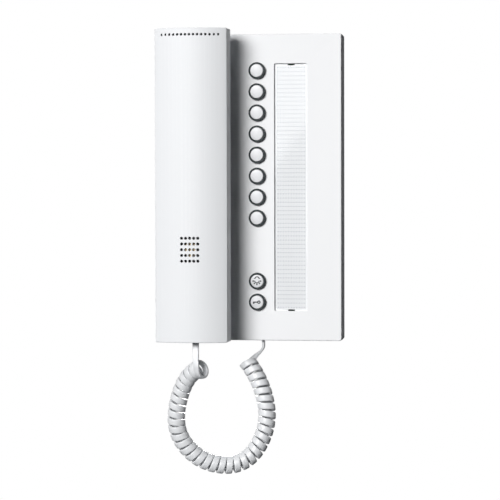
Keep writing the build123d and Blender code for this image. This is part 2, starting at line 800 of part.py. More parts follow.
def coil_point(share):
    """A point of the left-handed helix, which starts behind its centre line and ends in front."""
    along = coil_centre % share
    back = (Vector(0, 1, 0) - along * along.Y).normalized()
    side = along.cross(back)
    turned = math.tau * coil_turns * share
    return (coil_centre @ share) + (back * math.cos(turned) - side * math.sin(turned)) * coil_radius


def coil_direction(share):
    step_share = direction_step_share / coil_turns
    ahead = coil_point(min(share + step_share, 1))
    return (ahead - coil_point(max(share - step_share, 0))).normalized()


def meeting_point(start, start_direction, end, end_direction):
    """Where the two tangent arcs of a biarc from start to end meet."""
    gap = end - start
    bend = 2 * (1 - start_direction.dot(end_direction))
    lean = gap.dot(start_direction + end_direction)
    reach = (math.sqrt(lean**2 + bend * gap.dot(gap)) - lean) / bend
    return (start + start_direction * reach + end - end_direction * reach) / 2


half_turns = round(2 * coil_turns)
half_turn_shares = [number / half_turns for number in range(half_turns + 1)]
coil_stations = [(coil_point(share), coil_direction(share)) for share in half_turn_shares]
coil_start, start_direction = coil_stations[0]
coil_end, end_direction = coil_stations[-1]
lead_in = coil_start - start_direction * cord_diameter
lead_out = coil_end + end_direction * cord_diameter
with BuildPart() as cord_coil:
    with BuildLine() as coil_line:
        Line(lead_in, coil_start)
        for (here, heading), (there, next_heading) in zip(coil_stations, coil_stations[1:]):
            middle = meeting_point(here, heading, there, next_heading)
            first_arc = TangentArc(here, middle, tangent=heading)
            TangentArc(middle, there, tangent=first_arc % 1)
        Line(coil_end, lead_out)
    with BuildSketch(Plane(origin=lead_in, z_dir=start_direction)):
        RegularPolygon(cord_diameter / 2, coil_sides)
    sweep(clean=False)
finish(cord_coil, "cord_coil")

samples_per_turn = 20
sample_count = round(samples_per_turn * coil_turns)
samples = [coil_point(number / sample_count) for number in range(sample_count + 1)]
neighbours = range(samples_per_turn // 2, 2 * samples_per_turn)
spacings = [
    (samples[number + ahead] - samples[number]).length
    for number in range(sample_count)
    for ahead in neighbours
    if number + ahead <= sample_count
]
print("least gap between the coil's turns:", round(min(spacings) - cord_diameter, 2))


def lead_radii(route):
    """The largest radius that each corner's two runs leave room for."""
    radii = []
    for before, corner, after in zip(route, route[1:], route[2:]):
        arriving = Vector(*corner) - Vector(*before)
        leaving = Vector(*after) - Vector(*corner)
        shorter = min(arriving.length, leaving.length)
        half_turn = math.radians(arriving.get_angle(leaving)) / 2
        radii.append(lead_bend_share * shorter / math.tan(half_turn))
    return radii


def cord_lead(name, route):
    radii = lead_radii(route)
    print(name, "radii:", [round(radius, 1) for radius in radii])
    with BuildPart() as lead:
        with BuildLine() as lead_line:
            FilletPolyline(*route, radius=radii)
        with BuildSketch(Plane(origin=lead_line.line @ 0, z_dir=lead_line.line % 0)):
            RegularPolygon(cord_diameter / 2, cord_sides)
        sweep()
    section = cord_sides / 2 * (cord_diameter / 2) ** 2 * math.sin(math.tau / cord_sides)
    filled_share = lead.part.volume / (section * lead_line.wire().length)
    print(name, "volume as a share of its section times its length:", round(filled_share, 4))
    finish(lead, name)


base_exit_z = base_edge - plug_collar_length
handset_exit_z = handset_edge - plug_collar_length
base_lead_route = [
    (base_cord_x, -base_cord_height, base_exit_z),
    (base_cord_x, -base_cord_height, -113.8),
    (4.2, -11.6, -117.8),
    lead_in - start_direction * lead_run,
    lead_in,
]
handset_lead_route = [
    (handset_cord_x, -handset_cord_height, handset_exit_z),
    (handset_cord_x, -handset_cord_height, -114.8),
    lead_out + end_direction * lead_run,
    lead_out,
]
cord_lead("cord_base_lead", base_lead_route)
cord_lead("cord_handset_lead", handset_lead_route)
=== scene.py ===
import json
import math

import bmesh
import bpy
from mathutils import Euler, Matrix, Vector


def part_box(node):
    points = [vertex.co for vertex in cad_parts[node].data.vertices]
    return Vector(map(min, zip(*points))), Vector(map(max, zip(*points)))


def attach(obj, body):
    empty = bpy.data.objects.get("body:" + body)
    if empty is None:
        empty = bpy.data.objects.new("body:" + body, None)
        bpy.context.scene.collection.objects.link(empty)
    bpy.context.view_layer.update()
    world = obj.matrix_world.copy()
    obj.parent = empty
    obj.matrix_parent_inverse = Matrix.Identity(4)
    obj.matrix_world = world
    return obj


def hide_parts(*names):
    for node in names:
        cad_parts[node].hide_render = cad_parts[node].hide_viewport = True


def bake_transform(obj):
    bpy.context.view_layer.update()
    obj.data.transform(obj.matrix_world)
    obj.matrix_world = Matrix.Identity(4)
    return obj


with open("model.json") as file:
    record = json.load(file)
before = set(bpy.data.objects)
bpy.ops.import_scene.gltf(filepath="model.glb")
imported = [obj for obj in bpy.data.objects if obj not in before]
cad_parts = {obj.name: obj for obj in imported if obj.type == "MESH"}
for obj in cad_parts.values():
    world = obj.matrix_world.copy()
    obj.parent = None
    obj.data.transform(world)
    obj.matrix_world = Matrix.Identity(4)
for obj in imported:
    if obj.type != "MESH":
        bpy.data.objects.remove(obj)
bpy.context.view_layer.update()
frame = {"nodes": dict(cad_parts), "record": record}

cadNodes = frame["nodes"]
print("frame loaded with", len(cadNodes), "nodes")

# Camera, fitted to the photograph's corners
cameraView = {
    "lens": 172.5,
    "place": (0.2562, -1.713, 0.011),
    "pitch": -1.86,
    "yaw": 8.66,
    "roll": -0.13,
    "reach": 20,
}


def addCamera():
    turn = Euler((math.radians(90 + cameraView["pitch"]), 0, math.radians(cameraView["yaw"])))
    roll = Matrix.Rotation(math.radians(cameraView["roll"]), 3, "Z")
    bpy.ops.object.camera_add(location=cameraView["place"], rotation=(turn.to_matrix() @ roll).to_euler())
    camera = bpy.context.object
    camera.data.lens = cameraView["lens"]
    camera.data.clip_end = cameraView["reach"]
    bpy.context.scene.camera = camera


# Lamps: an oval softbox on the left shades the panel beside the handset, and weaker ones stand around it
lampValues = {
    "keyLamp": {"place": (-1.14, -3.60, 1.13), "size": (1.85, 1.75), "power": 43.5, "spread": 90},
    "leftLamp": {"place": (-1.50, -2.30, 0.90), "size": (0.7, 0.7), "power": 0.7, "spread": 70},
    "rightLamp": {"place": (1.90, 0.10, 0.10), "size": (0.9, 0.9), "power": 0.05, "spread": 60, "cool": True},
    "rearLamp": {"place": (-0.40, 2.60, 0.10), "size": (0.6, 0.6), "power": 7.0, "spread": 60},
    "crownLamp": {"place": (0.00, 0.70, 1.50), "size": (0.8, 0.8), "power": 0.5, "spread": 60, "cool": True},
    "windowLamp": {"place": (-0.454, -2.60, 0.368), "size": (0.6, 0.6), "power": 1.9, "turn": 50.4},
}
coolTint = (0.84, 0.94, 1.0)  # the photograph's shadows are slightly blue
worldLevel = 0.007
lampAim = Vector((0, -0.03, -0.03))
stageValues = {
    "floor": -1.45,
    "reach": 9.0,
    "roughness": 0.8,
    "colour": (0.86, 0.86, 0.86, 1),
    "bounce": (0.20, 0.23, 0.25, 1),
    "glow": 0.86,
}


def feed(tree, node, inputs):
    # Each input gets a value, or the output of another node
    for name, given in dict(inputs).items():
        if isinstance(given, bpy.types.NodeSocket):
            tree.links.new(given, node.inputs[name])
        else:
            node.inputs[name].default_value = given


def addNode(tree, kind, inputs=(), **fields):
    node = tree.nodes.new(kind)
    for field, value in fields.items():
        setattr(node, field, value)
    feed(tree, node, inputs)
    return node


def addMath(tree, operation, *terms, **fields):
    return addNode(tree, "ShaderNodeMath", enumerate(terms), operation=operation, **fields).outputs[0]


def newMaterial(name):
    material = bpy.data.materials.new(name)
    material.use_nodes = True
    return material, material.node_tree, material.node_tree.nodes["Principled BSDF"]


def addLamp(name, values):
    # A lamp aims at the object, unless it is a turned square card that the window mirrors
    spot = Vector(values["place"])
    turned = "turn" in values
    aim = (lampAim - spot).to_track_quat("-Z", "Y")
    if turned:
        aim = Euler((math.pi / 2, 0, 0)).to_matrix() @ Matrix.Rotation(math.radians(values["turn"]), 3, "Z")
    bpy.ops.object.light_add(type="AREA", location=spot, rotation=aim.to_euler())
    lamp = bpy.context.object
    lamp.name = name
    lamp.data.shape = "RECTANGLE" if turned else "ELLIPSE"
    lamp.data.size, lamp.data.size_y = values["size"]
    lamp.data.energy = values["power"]
    if values.get("cool"):
        lamp.data.color = coolTint
    lamp.data.spread = math.radians(values.get("spread", 180))
    lamp.visible_camera = False


def dressWorld():
    # White to the camera, behind clear pieces and in mirrors, and nearly black as a light
    world = bpy.data.worlds.new("studio")
    bpy.context.scene.world = world
    world.use_nodes = True
    tree = world.node_tree
    tree.nodes.clear()
    rays = addNode(tree, "ShaderNodeLightPath").outputs
    seen = addMath(tree, "MAXIMUM", rays["Is Camera Ray"], rays["Is Transmission Ray"])
    mirrored = addMath(tree, "MAXIMUM", seen, rays["Is Glossy Ray"])
    direct = addMath(tree, "LESS_THAN", rays["Diffuse Depth"], 1)  # after a bounce it would light the object
    shown = addMath(tree, "MULTIPLY", mirrored, direct)
    soft = addNode(tree, "ShaderNodeBackground", {"Color": (*coolTint, 1), "Strength": worldLevel})
    white = addNode(tree, "ShaderNodeBackground", {"Color": (1, 1, 1, 1)})
    mix = addNode(tree, "ShaderNodeMixShader", {0: shown, 1: soft.outputs[0], 2: white.outputs[0]})
    addNode(tree, "ShaderNodeOutputWorld", {"Surface": mix.outputs[0]})


def addFloor():
    # Pale to look at, and dark where light bounces off it onto the object
    values = stageValues
    bpy.ops.mesh.primitive_plane_add(size=values["reach"], location=(0, 0, values["floor"]))
    floor = bpy.context.object
    floor.name = "studioFloor"
    material, tree, shader = newMaterial("paleFloor")
    rays = addNode(tree, "ShaderNodeLightPath").outputs
    tone = addNode(tree, "ShaderNodeMix", data_type="RGBA")
    feed(tree, tone, {"Factor": rays["Is Diffuse Ray"], 6: values["colour"], 7: values["bounce"]})
    feed(tree, shader, {"Base Color": tone.outputs[2], "Roughness": values["roughness"]})
    seen = addMath(tree, "MULTIPLY", rays["Is Camera Ray"], values["glow"])
    glow = addNode(tree, "ShaderNodeEmission")
    mix = addNode(tree, "ShaderNodeMixShader", {0: seen, 1: shader.outputs[0], 2: glow.outputs[0]})
    feed(tree, tree.nodes["Material Output"], {"Surface": mix.outputs[0]})
    floor.data.materials.append(material)


bpy.context.scene.view_settings.view_transform = "Standard"
addCamera()
for lampName, lampFacts in lampValues.items():
    addLamp(lampName, lampFacts)
dressWorld()
addFloor()
print("camera, lamps and floor in place")

# Modelling steps that every piece shares: how far a direction may lean, and the most corners of a plain side
leanLimits = {"facing": 0.8, "aside": 0.2, "flared": 0.5, "along": 0.999}
sideCorners = 8


def hold(*pieces):
    if bpy.context.mode != "OBJECT":
        bpy.ops.object.mode_set(mode="OBJECT")
    bpy.ops.object.select_all(action="DESELECT")
    for piece in pieces:
        piece.select_set(True)
    if pieces:
        bpy.context.view_layer.objects.active = pieces[0]


def settle(name):
    piece = bpy.context.object
    piece.name = piece.data.name = name
    bpy.ops.object.transform_apply(location=True, rotation=True, scale=True)
    return piece


def addBlock(name, low, high):
    hold()
    middle = [(a + b) / 2 for a, b in zip(low, high)]
    bpy.ops.mesh.primitive_cube_add(size=1, location=middle, scale=[b - a for a, b in zip(low, high)])
    return settle(name)


def addRound(name, x, z, back, front, radius, sides=64, frontRadius=None):
    # A round that stands on a place of the wall, from its back height to its front one
    hold()
    bpy.ops.mesh.primitive_cone_add(
        vertices=sides, radius1=radius, radius2=frontRadius or radius, depth=abs(front - back),
        location=(x, (back + front) / 2, z), rotation=(math.pi / 2, 0, 0))
    return settle(name)


def pick(piece, kind, test):
    # Edit mode, with the faces, edges or corners selected that pass the test
    hold(piece)
    bpy.ops.object.mode_set(mode="EDIT")
    bpy.ops.mesh.select_mode(type=kind)
    bpy.ops.mesh.select_all(action="DESELECT")
    form = bmesh.from_edit_mesh(piece.data)
    for part in {"FACE": form.faces, "EDGE": form.edges, "VERT": form.verts}[kind]:
        if test(part):
            part.select_set(True)
    bmesh.update_edit_mesh(piece.data)


def drawOut(*shift):
    bpy.ops.mesh.extrude_region_move(TRANSFORM_OT_translate={"value": shift})


def roundEdges(piece, test, width, segments):
    pick(piece, "EDGE", test)
    bpy.ops.mesh.bevel(offset=width, segments=segments, affect="EDGES")
    bpy.ops.object.mode_set(mode="OBJECT")


def runsAlong(axis):
    def test(edge):
        run = (edge.verts[1].co - edge.verts[0].co).normalized()
        return abs(run[axis]) > leanLimits["along"]
    return test


def between(testOne, testTwo):
    # Edges where a face of one kind meets a face of the other
    def test(edge):
        if len(edge.link_faces) != 2:
            return False
        one, two = edge.link_faces
        return (testOne(one) and testTwo(two)) or (testOne(two) and testTwo(one))
    return test


def facesFront(face):
    return face.normal.y < -leanLimits["facing"]


def facesBack(face):
    return face.normal.y > leanLimits["facing"]


def facesAside(face):
    return abs(face.normal.y) < leanLimits["aside"]


def facesFlared(face):
    return abs(face.normal.y) < leanLimits["flared"]


def frontDisc(face):
    return facesFront(face) and len(face.verts) > sideCorners


def middleOf(node, axis):
    low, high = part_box(node)
    return (low[axis] + high[axis]) / 2


def spaced(middle, pitch, count):
    # Places at an even pitch about the middle
    return [middle + pitch * (number - (count - 1) / 2) for number in range(count)]


def joinUp(pieces, name):
    hold(*pieces)
    bpy.ops.object.join()
    pieces[0].name = pieces[0].data.name = name
    return pieces[0]


def combine(piece, other, how):
    hold(piece)
    step = piece.modifiers.new("combine", "BOOLEAN")
    step.operation, step.object, step.solver = how, other, "EXACT"
    bpy.ops.object.modifier_apply(modifier=step.name)
    bpy.data.objects.remove(other)


def smooth(piece, angle=32):
    hold(piece)
    bpy.ops.object.shade_smooth_by_angle(angle=math.radians(angle))
    step = piece.modifiers.new("evenShading", "WEIGHTED_NORMAL")
    step.keep_sharp = True
    bpy.ops.object.modifier_apply(modifier=step.name)


def copyPiece(piece, name, shift):
    # A copy with its own mesh, moved in its mesh
    copied = bpy.data.objects.new(name, piece.data.copy())
    copied.data.name = name
    bpy.context.collection.objects.link(copied)
    copied.data.transform(Matrix.Translation(shift))
    return copied


def place(piece, body, slotName, *nodes, finish=None):
    piece.data.materials.clear()
    piece.data.materials.append(materials[finish or slotName])
    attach(piece, body)
    if nodes:
        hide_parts(*nodes)
    return piece


# Textures that several finishes share: noise in cells per metre and detail, rims in pointiness
textureValues = {
    "grainDetail": 3.0,
    "grainRoughness": 0.6,
    "slowTone": (16.0, 2.0),
    "sheenPatches": (420.0, 4.0),
    "middle": 0.5,
    "rimStart": 0.515,
    "rimFull": 0.58,
    "polish": -0.12,
}
clearValues = {
    "tint": (0.97, 0.98, 0.98, 1),
    "refraction": 1.49,
    "rubs": (900.0, 5.0),
    "stretch": (1, 1, 0.06),
    "rubRange": (0.35, 0.75),
    "roughness": (0.03, 0.07),
}


def newGroup(name, inputs, outputs):
    # Inputs come with their usual values, and a socket whose label names a colour holds one
    group = bpy.data.node_groups.new(name, "ShaderNodeTree")
    for side, labels in (("INPUT", inputs), ("OUTPUT", outputs)):
        for label in labels:
            kind = "NodeSocketColor" if "Colour" in label else "NodeSocketFloat"
            socket = group.interface.new_socket(label, in_out=side, socket_type=kind)
            if side == "INPUT":
                socket.default_value = inputs[label]
    return group, group.nodes.new("NodeGroupInput").outputs, group.nodes.new("NodeGroupOutput")


def addNoise(tree, vector, scale, detail, **others):
    inputs = {"Vector": vector, "Scale": scale, "Detail": detail, **others}
    return addNode(tree, "ShaderNodeTexNoise", inputs).outputs[0]


def makeMouldedGrain():
    # Spark-eroded mould texture with a slow change of tone, for all plastic
    values = textureValues
    tree, given, out = newGroup(
        "mouldedGrain",
        {"Colour": (0.8, 0.8, 0.8, 1), "Grain": 2500, "Variation": 0.02, "Roughness": 0.4,
         "Unevenness": 0.08},
        ("Colour", "Roughness", "Height"))
    places = addNode(tree, "ShaderNodeTexCoord").outputs["Object"]
    fine = addNoise(tree, places, given["Grain"], values["grainDetail"], Roughness=values["grainRoughness"])
    slow = addNoise(tree, places, *values["slowTone"])
    tone, grain = (addMath(tree, "SUBTRACT", noise, values["middle"]) for noise in (slow, fine))
    bright = addMath(tree, "MULTIPLY_ADD", tone, given["Variation"], 1.0)
    tinted = addNode(tree, "ShaderNodeHueSaturation", {"Color": given["Colour"], "Value": bright})
    rough = addMath(tree, "MULTIPLY_ADD", grain, given["Unevenness"], given["Roughness"])
    feed(tree, out, {"Colour": tinted.outputs[0], "Roughness": rough, "Height": fine})
    return tree


def makeEdgeSheen():
    # Painted highlight: corners and rims lightened towards a paler colour, broken up by noise, where the
    # roughness is also lowered
    values = textureValues
    tree, given, out = newGroup(
        "edgeSheen",
        {"Colour": (0.8, 0.8, 0.8, 1), "Sheen Colour": (0.9, 0.9, 0.9, 1), "Amount": 0.3, "Roughness": 0.4},
        ("Colour", "Roughness"))
    form = addNode(tree, "ShaderNodeNewGeometry").outputs["Pointiness"]
    levels = {"Value": form, "From Min": values["rimStart"], "From Max": values["rimFull"]}
    rim = addNode(tree, "ShaderNodeMapRange", levels, clamp=True)
    places = addNode(tree, "ShaderNodeTexCoord").outputs["Object"]
    patches = addNoise(tree, places, *values["sheenPatches"])
    broken = addMath(tree, "MULTIPLY", rim.outputs[0], patches)
    share = addMath(tree, "MULTIPLY", broken, given["Amount"], use_clamp=True)
    mixed = addNode(tree, "ShaderNodeMix", data_type="RGBA")
    feed(tree, mixed, {"Factor": share, 6: given["Colour"], 7: given["Sheen Colour"]})
    polished = addMath(tree, "MULTIPLY_ADD", share, values["polish"], given["Roughness"])
    feed(tree, out, {"Colour": mixed.outputs[2], "Roughness": polished})
    return tree


mouldedGrain = makeMouldedGrain()
edgeSheen = makeEdgeSheen()

# What each finish is like: grain is per metre, and depth is the height of the grain in metres
# The rim sheen colour and its share are a painted highlight on each finish's corners and rims
finishFields = ("colour", "roughness", "grain", "depth", "variation", "worn", "rimSheen", "gloss", "metal")
finishes = {
    "housing_plastic": ((0.83, 0.835, 0.845), 0.72, 2600, 0.000012, 0.02, (0.9, 0.9, 0.9), 0.25, 0.16, 0),
    "handset_plastic": ((0.74, 0.75, 0.765), 0.5, 2600, 0.000012, 0.02, (0.9, 0.9, 0.9), 0.25, 0.32, 0),
    "button_plastic": ((0.66, 0.665, 0.68), 0.36, 3400, 0.000006, 0.015, (0.95, 0.95, 0.95), 0.3, 0.5, 0),
    "collar_plastic": ((0.013, 0.020, 0.023), 0.42, 3000, 0.000010, 0.15, (0.05, 0.065, 0.07), 0.5, 0.3, 0),
    "card": ((0.695, 0.700, 0.715), 0.7, 5200, 0.000008, 0.02, (0.8, 0.8, 0.8), 0.0, 0.5, 0),
    "cord_jacket": ((0.72, 0.73, 0.745), 0.36, 1700, 0.000008, 0.05, (0.86, 0.86, 0.86), 0.2, 0.5, 0),
    "plug_plastic": ((0.74, 0.75, 0.76), 0.3, 3000, 0.000006, 0.03, (0.85, 0.85, 0.85), 0.3, 0.5, 0),
    "switch_plastic": ((0.02, 0.02, 0.022), 0.5, 3000, 0.000010, 0.2, (0.07, 0.07, 0.07), 0.5, 0.5, 0),
    "terminal_plastic": ((0.03, 0.15, 0.05), 0.45, 2600, 0.000010, 0.12, (0.12, 0.3, 0.14), 0.4, 0.5, 0),
    "board_laminate": ((0.008, 0.07, 0.028), 0.35, 1500, 0.000010, 0.2, (0.2, 0.25, 0.12), 0.2, 0.5, 0),
    "screw_steel": ((0.5, 0.5, 0.51), 0.35, 4200, 0.000008, 0.15, (0.75, 0.75, 0.75), 0.6, 0.5, 1),
    "reed_glass": ((0.45, 0.6, 0.5), 0.12, 1500, 0.000004, 0.1, (0.7, 0.8, 0.7), 0.2, 0.5, 0),
    "soft_pad": ((0.03, 0.03, 0.032), 0.85, 2400, 0.000060, 0.3, (0.09, 0.09, 0.09), 0.6, 0.5, 0),
    "capsule_plastic": ((0.02, 0.02, 0.022), 0.5, 2600, 0.000012, 0.2, (0.08, 0.08, 0.08), 0.5, 0.5, 0),
    "capsule_metal": ((0.62, 0.62, 0.63), 0.35, 3800, 0.000008, 0.12, (0.8, 0.8, 0.8), 0.5, 0.5, 1),
    "keyInk": ((0.030, 0.034, 0.038), 0.55, 5200, 0.000004, 0.1, (0.35, 0.35, 0.35), 0.2, 0.5, 0),
    "sounderBrass": ((0.30, 0.235, 0.15), 0.38, 3800, 0.000006, 0.12, (0.6, 0.5, 0.35), 0.4, 0.5, 1),
    "magnet_metal": ((0.6, 0.6, 0.62), 0.2, 3000, 0.000004, 0.08, (0.8, 0.8, 0.8), 0.4, 0.5, 1),
}


def makeFinish(slotName):
    values = dict(zip(finishFields, finishes[slotName]))
    material, tree, shader = newMaterial(slotName)
    grain = addNode(tree, "ShaderNodeGroup", node_tree=mouldedGrain)
    feed(tree, grain, {"Colour": (*values["colour"], 1), "Grain": values["grain"],
                       "Variation": values["variation"], "Roughness": values["roughness"]})
    # Painted highlight on the rims, from the edge group
    rimSheen = addNode(tree, "ShaderNodeGroup", node_tree=edgeSheen)
    feed(tree, rimSheen, {"Colour": grain.outputs["Colour"], "Roughness": grain.outputs["Roughness"],
                      "Sheen Colour": (*values["worn"], 1), "Amount": values["rimSheen"]})
    bump = addNode(tree, "ShaderNodeBump", {"Height": grain.outputs["Height"], "Distance": values["depth"]})
    feed(tree, shader, {"Base Color": rimSheen.outputs["Colour"], "Roughness": rimSheen.outputs["Roughness"],
                        "Normal": bump.outputs[0], "Metallic": values["metal"],
                        "Specular IOR Level": values["gloss"]})
    return material


def makeClearCover():
    # Clear plastic that lets the lamps reach the card behind it, with fine rubs along its length
    values = clearValues
    material, tree, shader = newMaterial("clear_cover")
    places = addNode(tree, "ShaderNodeTexCoord").outputs["Object"]
    stretched = addNode(tree, "ShaderNodeMapping", {"Vector": places, "Scale": values["stretch"]})
    rubs = addNoise(tree, stretched.outputs[0], *values["rubs"])
    (low, high), (smoothest, roughest) = values["rubRange"], values["roughness"]
    rough = addNode(tree, "ShaderNodeMapRange", {
        "Value": rubs, "From Min": low, "From Max": high, "To Min": smoothest, "To Max": roughest})
    feed(tree, shader, {"Base Color": values["tint"], "IOR": values["refraction"],
                        "Transmission Weight": 1, "Roughness": rough.outputs[0]})
    clear = addNode(tree, "ShaderNodeBsdfTransparent").outputs[0]
    rays = addNode(tree, "ShaderNodeLightPath").outputs
    surface = shader.outputs[0]
    for kind in ("Is Diffuse Ray", "Is Shadow Ray"):  # both, or the card would be lit twice
        surface = addNode(tree, "ShaderNodeMixShader", {0: rays[kind], 1: surface, 2: clear}).outputs[0]
    feed(tree, tree.nodes["Material Output"], {"Surface": surface})
    return material


# The card's printed dots, in metres
dotValues = {
    "across": 0.0019,
    "up": 0.0030,
    "radius": 0.00037,
    "softness": 0.00008,
    "columns": 11,
    "rows": 58,
    "ink": (0.30, 0.32, 0.36, 1),
}


def addDots(material, middleX):
    # Rows of small grey dots on the card, inside its margins
    tree, values = material.node_tree, dotValues
    places = addNode(tree, "ShaderNodeTexCoord").outputs["Object"]
    shifted = addNode(tree, "ShaderNodeVectorMath", {0: places, 1: (middleX, 0, 0)}, operation="SUBTRACT")
    parts = addNode(tree, "ShaderNodeSeparateXYZ", {0: shifted.outputs[0]}).outputs
    offsets, insides = [], []
    for along, pitch, count in ((parts[0], values["across"], values["columns"]),
                                (parts[2], values["up"], values["rows"])):
        first = pitch / 2 if count % 2 == 0 else 0  # the first dot's distance from the middle
        wave = addMath(tree, "WRAP", along, first + pitch / 2, first - pitch / 2)
        offsets.append(addMath(tree, "SUBTRACT", wave, first))
        insides.append(addMath(tree, "LESS_THAN", addMath(tree, "ABSOLUTE", along), pitch * count / 2))
    spot = addNode(tree, "ShaderNodeCombineXYZ", enumerate(offsets))
    reach = addNode(tree, "ShaderNodeVectorMath", {0: spot.outputs[0]}, operation="LENGTH")
    dot = addNode(tree, "ShaderNodeMapRange", {
        "Value": reach.outputs["Value"], "From Min": values["radius"] + values["softness"],
        "From Max": values["radius"] - values["softness"]})
    share = addMath(tree, "MULTIPLY", dot.outputs[0], addMath(tree, "MULTIPLY", *insides))
    shader = tree.nodes["Principled BSDF"]
    paper = shader.inputs["Base Color"].links[0].from_socket
    printed = addNode(tree, "ShaderNodeMix", data_type="RGBA")
    feed(tree, printed, {"Factor": share, 6: paper, 7: values["ink"]})
    feed(tree, shader, {"Base Color": printed.outputs[2]})


materials = {slotName: makeFinish(slotName) for slotName in finishes}
materials["clear_cover"] = makeClearCover()
addDots(materials["card"], middleOf("name_strip", 0))
for part in frame["record"]["subparts"]:
    node = cadNodes[part["node"]]
    node.data.materials.clear()
    node.data.materials.append(materials[part["material_slot"]])
print("finishes made:", len(materials))

# Handset front: a crowned shell with two sets of sound holes
handsetValues = {
    "corner": 0.0010,
    "crownRise": 0.0058,
    "crownEdge": 0.0006,
    "seam": 0.00025,
    "wall": 0.0020,
    "lip": 0.0005,  # how far the CAD shell reaches past the parting
    "topHoles": 15,
    "topPitch": 0.00285,
    "topHole": 0.00090,
    "topInset": 0.0047,
    "grid": (5, 5),
    "gridPitch": (0.0029, 0.00403),
    "gridHole": 0.00105,
    "gridFromEnd": 0.06555,
    "holeLead": 0.00015,
    "plugGap": 0.0002,
    "screen": (0.0225, 0.0022),
    "screenBack": 0.0040,
    "screenCorner": 0.0008,
    "screenDepth": 0.0006,
}
sounderValues = {
    "mouth": 0.0060,
    "mouthDepth": 0.0015,
    "lip": 0.0008,
    "sunk": 0.0009,
    "edge": 0.0004,
    "disc": 0.0049,
    "discDepth": 0.0002,
    "discStep": 0.4,
}
frontLow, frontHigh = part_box("handset_front_shell")
handsetX = (frontLow.x + frontHigh.x) / 2
parting = frontHigh.y - handsetValues["lip"]  # where the two shells meet
gridZ = frontLow.z + handsetValues["gridFromEnd"]
crownReach = (frontHigh.x - frontLow.x) / 2
crownRadius = (crownReach ** 2 + handsetValues["crownRise"] ** 2) / (2 * handsetValues["crownRise"])
crownMiddle = frontLow.y + crownRadius


def crownAt(x):
    # The front's height across the handset
    return crownMiddle - math.sqrt(crownRadius ** 2 - (x - handsetX) ** 2)


def cutByCrown(piece, inset, how, sides):
    # The large round that the front is part of, or one that lies inside it, keeps or cuts the piece
    hold()
    bpy.ops.mesh.primitive_cylinder_add(
        vertices=sides, radius=crownRadius - inset, depth=1, location=(handsetX, crownMiddle, 0))
    combine(piece, settle("crownRound"), how)


def crownedBlock(name, inset, back):
    low = (frontLow.x + inset, frontLow.y + inset, frontLow.z + inset)
    piece = addBlock(name, low, (frontHigh.x - inset, back, frontHigh.z - inset))
    if not inset:
        roundEdges(piece, runsAlong(1), handsetValues["corner"], segments=5)
    cutByCrown(piece, inset, "INTERSECT", sides=512)
    return piece


def holeCutters(name, places, radius, back):
    # Round cutters with a small lead-in where they meet the crown
    lead, cutters = handsetValues["holeLead"], []
    growth = 1 + 2 * lead / radius
    for x, z in places:
        face = crownAt(x)
        cutter = addRound(name, x, z, back, face + lead, radius, sides=28)
        pick(cutter, "FACE", facesFront)
        drawOut(0, -2 * lead, 0)
        bpy.ops.transform.resize(value=(growth, 1, growth), center_override=(x, face, z))
        cutters.append(cutter)
    return joinUp(cutters, name)


def plugCutter(name, node, wallEnd):
    # A cutter for the slot that a cord's plug passes through
    low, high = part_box(node)
    gap, reach = handsetValues["plugGap"], handsetValues["wall"] * 1.5
    return addBlock(name, (low.x - gap, low.y - gap, wallEnd - reach),
                    (high.x + gap, high.y + gap, wallEnd + reach))


def makeHandsetFront():
    values = handsetValues
    shell = crownedBlock("handsetFront", 0, parting)
    roundEdges(shell, between(facesFront, facesAside), values["crownEdge"], segments=4)
    roundEdges(shell, between(facesBack, facesAside), values["seam"], segments=2)
    combine(shell, crownedBlock("frontHollow", values["wall"], parting + values["wall"]), "DIFFERENCE")
    topZ = frontHigh.z - values["topInset"]
    top = [(x, topZ) for x in spaced(handsetX, values["topPitch"], values["topHoles"])]
    combine(shell, holeCutters("topCutters", top, values["topHole"], parting), "DIFFERENCE")
    (columns, rows), (across, up) = values["grid"], values["gridPitch"]
    grid = [(x, z) for x in spaced(handsetX, across, columns) for z in spaced(gridZ, up, rows)]
    combine(shell, holeCutters("gridCutters", grid, values["gridHole"], parting), "DIFFERENCE")
    combine(shell, plugCutter("handsetPlugSlot", "handset_cord_plug", frontLow.z), "DIFFERENCE")
    smooth(shell)
    return place(shell, "handset", "handset_plastic", "handset_front_shell")


def makeTopScreen():
    # A strip of dark felt that follows the inside of the crown behind the row of sound holes
    values = handsetValues
    half, up = values["screen"]
    z = frontHigh.z - values["topInset"]
    screen = addBlock("topScreen", (handsetX - half, frontLow.y, z - up),
                      (handsetX + half, parting - values["screenBack"], z + up))
    roundEdges(screen, runsAlong(1), values["screenCorner"], segments=3)
    cutByCrown(screen, values["wall"], "INTERSECT", sides=256)
    cutByCrown(screen, values["wall"] + values["screenDepth"], "DIFFERENCE", sides=256)
    smooth(screen)
    return place(screen, "handset", "soft_pad")


def makeSounder():
    # The call tone sounder behind the grid: a stepped case with a brass disc in its mouth
    values = sounderValues
    low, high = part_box("call_tone_sounder")
    x, z, reach = (low.x + high.x) / 2, (low.z + high.z) / 2, (high.x - low.x) / 2
    step = low.y + values["mouthDepth"]
    case = addRound("sounderCase", x, z, high.y, step, reach, sides=96)
    roundEdges(case, between(facesFront, facesAside), values["edge"], segments=4)
    pick(case, "FACE", frontDisc)
    bpy.ops.mesh.inset(thickness=reach - values["edge"] - values["mouth"])
    drawOut(0, low.y - step, 0)
    bpy.ops.mesh.inset(thickness=values["lip"])
    drawOut(0, values["sunk"], 0)
    smooth(case)
    place(case, "handset", "capsule_plastic", "call_tone_sounder")
    back, front = low.y + values["sunk"] + values["discDepth"], low.y + values["sunk"] / 2
    disc = addRound("sounderDisc", x, z, back, front, values["disc"])
    roundEdges(disc, between(facesFront, facesAside), values["discDepth"] / 2, segments=2)
    pick(disc, "FACE", frontDisc)
    bpy.ops.mesh.inset(thickness=values["disc"] * values["discStep"], depth=-values["discDepth"] / 2)
    smooth(disc)
    place(disc, "handset", "capsule_metal", finish="sounderBrass")


makeHandsetFront()
makeTopScreen()
makeSounder()
print("handset front modelled")

